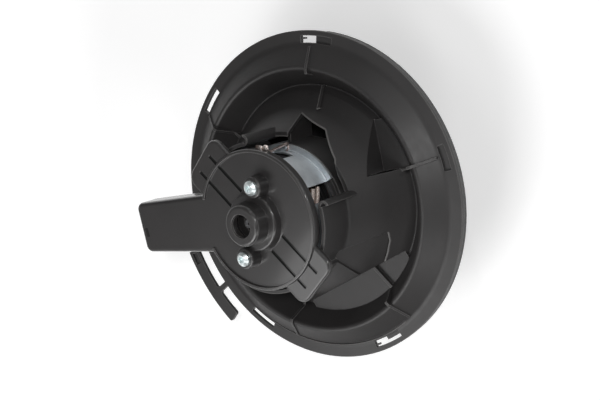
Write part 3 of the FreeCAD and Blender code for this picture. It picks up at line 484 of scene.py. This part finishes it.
def open_boss_hole(cover):
    """The hole in the boss's top is wide with a narrow bevel in the photograph."""
    hole_foot_z = boss_top_z - 4.0 * MM
    bevel_foot_z = boss_top_z - (boss_bevel_r - boss_hole_r)
    wide_r = boss_bevel_r - 1.2 * MM
    pull_ring(cover, boss_hole_r, hole_foot_z, wide_r, hole_foot_z)
    pull_ring(cover, boss_hole_r, bevel_foot_z, wide_r, boss_top_z - 0.5 * MM)
    pull_ring(cover, boss_bevel_r, boss_top_z, wide_r + 0.3 * MM, boss_top_z)


def smoothed_copy(node, name, body, change=None):
    """A node's shape as one joined surface that shades like the curved faces it stands for."""
    sharp_edge = math.cos(math.radians(30.0))
    piece = bpy.data.objects.new(name, nodes[node].data.copy())
    bpy.context.scene.collection.objects.link(piece)
    edit(piece)
    bpy.ops.mesh.select_all(action="SELECT")
    bpy.ops.mesh.remove_doubles(threshold=0.001 * MM)
    close_edit()
    if change:
        change(piece)
    mesh = piece.data
    corners = np.empty(len(mesh.loops), dtype=int)
    mesh.loops.foreach_get("vertex_index", corners)
    places = np.empty(len(mesh.vertices) * 3)
    mesh.vertices.foreach_get("co", places)
    area, normals = turned_normals(places.reshape(-1, 3)[corners.reshape(-1, 3)])
    weight = np.repeat(area, 3)
    normals = normals.reshape(-1, 3)
    mixed = normals.copy()
    order = np.argsort(corners, kind="stable")
    for rows in np.split(order, np.flatnonzero(np.diff(corners[order])) + 1):
        around = normals[rows]
        near = around @ around.T > sharp_edge
        mixed[rows] = (near * weight[rows]) @ around
    length = np.linalg.norm(mixed, axis=1)
    mixed = np.where(length[:, None] > 1e-12, mixed / np.maximum(length, 1e-12)[:, None], normals)
    mesh.polygons.foreach_set("use_smooth", [True] * len(mesh.polygons))
    mesh.normals_split_custom_set(mixed.tolist())
    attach(piece, body)
    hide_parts(node)
    return piece


smoothed = {
    "mounting_flange": ("flange_moulding", "housing", "black_plastic"),
    "rear_cover": ("cover_moulding", "housing", "black_plastic"),
    "motor_can": ("drawn_can", "housing", "can_steel"),
    "fan_wheel": ("wheel_moulding", "rotor", "wheel_plastic"),
    "foam_seal": ("foam_strips", "housing", "grey_foam"),
    "brush_plate": ("plate_moulding", "housing", "black_plastic"),
    "cover_screws": ("pan_screws", "housing", "zinc_steel"),
    "shaft": ("ground_shaft", "rotor", "shaft_steel"),
    "rubber_sleeve": ("rubber_ring", "housing", "black_rubber"),
    "rear_bearing": ("rear_bush", "housing", "bronze"),
    "front_bearing": ("front_bush", "housing", "bronze"),
    "magnets": ("curved_magnets", "housing", "ferrite"),
    "armature_windings": ("winding_block", "rotor", "copper"),
    "commutator": ("copper_bars", "rotor", "copper"),
}
for node, (name, body, slot) in smoothed.items():
    change = open_boss_hole if node == "rear_cover" else None
    smoothed_copy(node, name, body, change)


# Wire pieces of the motor

def wire_coil(name, radius, wire_r, length, turns, foot, way, finish):
    """Round wire wound into an open or close coil, which stands on its foot and points along its way."""
    bpy.ops.object.select_all(action="DESELECT")
    bpy.ops.mesh.primitive_circle_add(vertices=8, radius=wire_r, location=(radius - wire_r, 0, wire_r),
                                      rotation=(math.pi / 2, 0, 0))
    piece = bpy.context.object
    piece.name = name
    settle()
    winding = piece.modifiers.new("winding", "SCREW")
    winding.angle = math.tau
    winding.screw_offset = (length - 2 * wire_r) / turns
    winding.iterations = turns
    winding.steps = winding.render_steps = 20
    winding.use_merge_vertices = True
    bpy.ops.object.modifier_apply(modifier=winding.name)
    edit(piece)
    bpy.ops.mesh.select_all(action="SELECT")
    bpy.ops.mesh.remove_doubles(threshold=0.002 * MM)
    bpy.ops.mesh.fill_holes(sides=0)
    bpy.ops.mesh.normals_make_consistent(inside=False)
    close_edit()
    upright = Vector(way).to_track_quat("Z", "Y").to_matrix().to_4x4()
    piece.matrix_world = Matrix.Translation(foot) @ upright
    settle()
    dress(piece, 50, finish)
    return piece


def brush_spring_coils():
    """The two springs that press the brushes, each behind its brush."""
    low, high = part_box("brush_springs")
    middle_z = (low[2] + high[2]) / 2
    for side, degrees in (("front", 15.0), ("rear", 195.0)):
        coil = wire_coil("spring_coil_" + side, radius=2.75 * MM, wire_r=0.35 * MM, length=6.8 * MM,
                         turns=5, foot=round_axis(20.1 * MM, degrees, middle_z),
                         way=round_axis(1.0, degrees), finish=spring_steel)
        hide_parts("brush_springs")


def choke_wires():
    """The winding of each choke, along its ferrite rod."""
    low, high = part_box("choke_coils")
    middle_z = (low[2] + high[2]) / 2
    for side, degrees in (("upper", 95.0), ("lower", 275.0)):
        way = round_axis(1.0, degrees + 90)
        foot = round_axis(22.0 * MM, degrees, middle_z) + way * 2.0 * MM
        coil = wire_coil("choke_wire_" + side, radius=2.7 * MM, wire_r=0.52 * MM, length=10.0 * MM,
                         turns=8, foot=foot, way=way, finish=enamelled_wire)
        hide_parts("choke_coils")


def brush_shunts():
    """Two plaited leads from the brush to the plate, seen in the motor's side window."""
    lead_r = 1.2 * MM
    # Each point's distance from the axis in millimetres, direction in degrees and height in millimetres
    stations = ((32.2, 21.5, 33.0), (31.2, 17.5, 33.2), (29.8, 12.0, 33.6), (28.4, 6.0, 34.2),
                (27.6, -2.0, 35.0))
    for name, rise, shift in (("shunt_inner", 1.0, -1.3), ("shunt_outer", -1.2, 0.5)):
        route = bpy.data.curves.new(name + "_route", "CURVE")
        route.dimensions = "3D"
        route.bevel_depth = lead_r
        route.bevel_resolution = 3
        route.resolution_u = 6
        route.use_fill_caps = True
        line = route.splines.new("NURBS")
        line.points.add(len(stations) - 1)
        for point, (radius, degrees, height) in zip(line.points, stations):
            point.co = (*round_axis((radius + shift) * MM, degrees, (height + rise) * MM), 1.0)
        line.order_u = 3
        line.use_endpoint_u = True
        lead = bpy.data.objects.new(name, route)
        bpy.context.scene.collection.objects.link(lead)
        bpy.ops.object.select_all(action="DESELECT")
        lead.select_set(True)
        bpy.context.view_layer.objects.active = lead
        bpy.ops.object.convert(target="MESH")
        dress(bpy.context.object, 40, plaited)


# Small parts round the motor's rear end, with their sizes in millimetres

def swept_ring(name, radius, height, half, angles, finish, sides=4, bevel=0.0):
    """A bar with 4 or more sides, swept round the motor's axis from one angle to another."""
    corner = math.sqrt(2) if sides == 4 else 1.0
    bpy.ops.object.select_all(action="DESELECT")
    bpy.ops.mesh.primitive_circle_add(vertices=sides, radius=corner)
    bar = bpy.context.object
    bar.name = name
    bar.rotation_euler.z = math.pi / sides
    settle()
    bar.scale = (half[0] * MM, half[1] * MM, 1.0)
    bar.rotation_euler.x = math.pi / 2
    bar.location = (radius * MM, 0, height * MM)
    settle()
    edit(bar)
    bpy.ops.mesh.select_all(action="SELECT")
    span = angles[1] - angles[0]
    bpy.ops.mesh.spin(steps=max(3, round(span / 3)), angle=math.radians(span), center=(0, 0, 0),
                      axis=(0, 0, -1))
    bpy.ops.mesh.select_all(action="SELECT")
    bpy.ops.mesh.fill_holes(sides=0)
    bpy.ops.mesh.normals_make_consistent(inside=False)
    close_edit()
    bar.rotation_euler.z = math.radians(angles[0])
    settle()
    if bevel:
        rounding = bar.modifiers.new("rounding", "BEVEL")
        rounding.width = bevel * MM
        rounding.segments = 2
        rounding.limit_method = "ANGLE"
        bpy.ops.object.modifier_apply(modifier=rounding.name)
    dress(bar, 35, finish)


def can_details():
    """The bend of the can's flange, the sills of its windows and the dark skirt inside its rear end."""
    for turn, side in ((0.0, "front"), (180.0, "rear")):
        swept_ring("flange_bend_" + side, radius=35.25, height=24.95, half=(0.55, 0.55), sides=10,
                   angles=(23.2 + turn, 185.8 + turn), finish=finishes["motor_can"])
        swept_ring("window_sill_" + side, radius=34.7, height=22.5, half=(1.8, 0.45), bevel=0.15,
                   angles=(6.7 + turn, 22.3 + turn), finish=plastic)
        for part, start, end in (("short", 23.2, 61.3), ("long", 86.7, 185.8)):
            swept_ring(f"plate_skirt_{part}_{side}", radius=32.6, height=36.8, half=(0.45, 5.8),
                       angles=(start + turn, end + turn), finish=plastic)


def sleeve_backing():
    """A thin strip that closes the small gap in the sleeve's wall beside the lower right wing."""
    swept_ring("sleeve_backing", radius=41.2, height=32.0, half=(0.5, 5.0), angles=(-54.0, -36.0),
               finish=plastic)


def rounded_block(name, centre, size, degrees, bevel, finish):
    """A small block with rounded edges, turned about the upright by some degrees."""
    bpy.ops.object.select_all(action="DESELECT")
    bpy.ops.mesh.primitive_cube_add(size=1.0, location=centre, rotation=(0, 0, math.radians(degrees)))
    piece = bpy.context.object
    piece.name = name
    piece.scale = [side * MM for side in size]
    settle()
    edit(piece)
    bpy.ops.mesh.select_all(action="SELECT")
    bpy.ops.mesh.bevel(offset=bevel * MM, segments=3, profile=0.6)
    close_edit()
    dress(piece, 50, finish)


def solder_beads():
    """Rounded beads of solder on the two tabs at the plate's edge."""
    for name, radius, degrees in (("solder_bead_left", 40.7, 73.6), ("solder_bead_right", 41.7, 68.8)):
        centre = round_axis(radius * MM, degrees, 49.7 * MM)
        rounded_block(name, centre, (3.0, 2.9, 2.2), degrees, bevel=0.95, finish=solder)


def strap_rivet():
    """The rivet that holds the strap's foot to the can."""
    bpy.ops.object.select_all(action="DESELECT")
    bpy.ops.mesh.primitive_cylinder_add(vertices=20, radius=1.15 * MM, depth=1.5 * MM,
                                        location=round_axis(37.0 * MM, 75.5, 26.2 * MM))
    rivet = bpy.context.object
    rivet.name = "strap_rivet"
    settle()
    edit(rivet)
    bpy.ops.mesh.select_all(action="SELECT")
    bpy.ops.mesh.bevel(offset=0.4 * MM, segments=2)
    close_edit()
    dress(rivet, 40, finishes["motor_can"])


def arm_slot_shade_patch():
    """A flat patch of painted shade for the small slot in the socket arm's end, just inside the arm's
    rounded edge.
    """
    centre = Vector((-91.6 * MM, 0.0, cover_face_z))
    rounded_block("latch_slot_painted_shade", centre, (2.5, 5.6, 0.08), degrees=4.0, bevel=0.02,
                  finish=painted_slot_shade)


brush_spring_coils()
choke_wires()
brush_shunts()
can_details()
sleeve_backing()
solder_beads()
strap_rivet()
arm_slot_shade_patch()


# Floor, light and camera

def paper_floor():
    """A pale floor that stays white for the camera and keeps the soft shadow."""
    bpy.ops.object.select_all(action="DESELECT")
    bpy.ops.mesh.primitive_plane_add(size=8.0, location=(0, 0, wheel_foot_z - 0.1 * MM))
    floor = bpy.context.object
    floor.name = "paper_floor"
    finish = Finish("white_paper", Roughness=0.9)
    finish.colour((0.86, 0.86, 0.86))
    path = finish.node("ShaderNodeLightPath")
    seen = Level(finish, path.outputs["Is Camera Ray"]) + Level(finish, path.outputs["Is Glossy Ray"])
    strength = seen * (0.35 + finish.from_axis().between(0.25, 0.7) * 0.65)
    glow = finish.node("ShaderNodeEmission", None, {"Color": (1, 1, 1), "Strength": strength})
    both = finish.node("ShaderNodeAddShader", None, {0: finish.shader.outputs[0], 1: glow.outputs[0]})
    finish.feed(finish.tree.nodes["Material Output"].inputs["Surface"], both.outputs[0])
    floor.data.materials.append(finish.material)


def white_room(strength):
    """Even light from all round, and plain white behind the object."""
    world = bpy.data.worlds.new("white_room")
    bpy.context.scene.world = world
    world.use_nodes = True
    tree = world.node_tree
    back = tree.nodes["Background"]
    back.inputs["Color"].default_value = (1, 1, 1, 1)
    path = tree.nodes.new("ShaderNodeLightPath")
    ranged = tree.nodes.new("ShaderNodeMapRange")
    ranged.inputs["To Min"].default_value = strength
    ranged.inputs["To Max"].default_value = 1.0
    tree.links.new(path.outputs["Is Camera Ray"], ranged.inputs["Value"])
    tree.links.new(ranged.outputs[0], back.inputs["Strength"])


def soft_lamp(name, place, size, power):
    """A round lamp of a size across in metres and a power in watts, which points at the motor."""
    light = bpy.data.lights.new(name, "AREA")
    light.shape = "DISK"
    light.size = size
    light.energy = power
    lamp = bpy.data.objects.new(name, light)
    lamp.location = place
    to_motor = -Vector(place)
    lamp.rotation_euler = to_motor.to_track_quat("-Z", "Y").to_euler()
    bpy.context.scene.collection.objects.link(lamp)


def photo_camera():
    """The photograph's viewpoint: about 40 degrees off the motor's axis, mostly to +X, with +Y upward."""
    camera = bpy.data.objects.new("photo_camera", bpy.data.cameras.new("photo_camera"))
    bpy.context.scene.collection.objects.link(camera)
    place = (0.3301, 0.0603, 0.4198)
    right = Vector((0.77501, -0.20562, -0.59757))
    up = Vector((0.05159, 0.96304, -0.26441))
    turn = Matrix((right, up, right.cross(up))).transposed().to_4x4()
    camera.matrix_world = Matrix.Translation(place) @ turn
    camera.data.sensor_width = 36.0
    camera.data.lens = 53.2
    camera.data.shift_y = 0.10
    bpy.context.scene.camera = camera


paper_floor()
white_room(0.06)
soft_lamp("beside_camera", (0.616, 0.202, 0.777), size=0.1, power=2.7)
soft_lamp("over_camera", (0.40, 0.74, 0.54), size=0.05, power=0.6)
soft_lamp("far_right", (0.74, 0.27, 0.62), size=0.05, power=0.6)
soft_lamp("over_cover", (0.0, 0.1, 1.05), size=0.5, power=0.7)
soft_lamp("over_socket", (-0.21, -0.577, 0.839), size=0.5, power=3.1)
soft_lamp("over_left", (-0.42, -0.34, 0.84), size=0.5, power=1.6)
soft_lamp("low_left", (-0.55, -0.62, 0.55), size=0.4, power=0.9)
soft_lamp("low_right", (0.5, -0.65, 0.57), size=0.3, power=1.5)
soft_lamp("behind", (-0.298, 0.843, 0.447), size=0.6, power=0.2)
soft_lamp("beyond_socket", (-0.95, 0.0, 0.3), size=0.6, power=0.35)
photo_camera()
bpy.context.scene.view_settings.view_transform = "Standard"
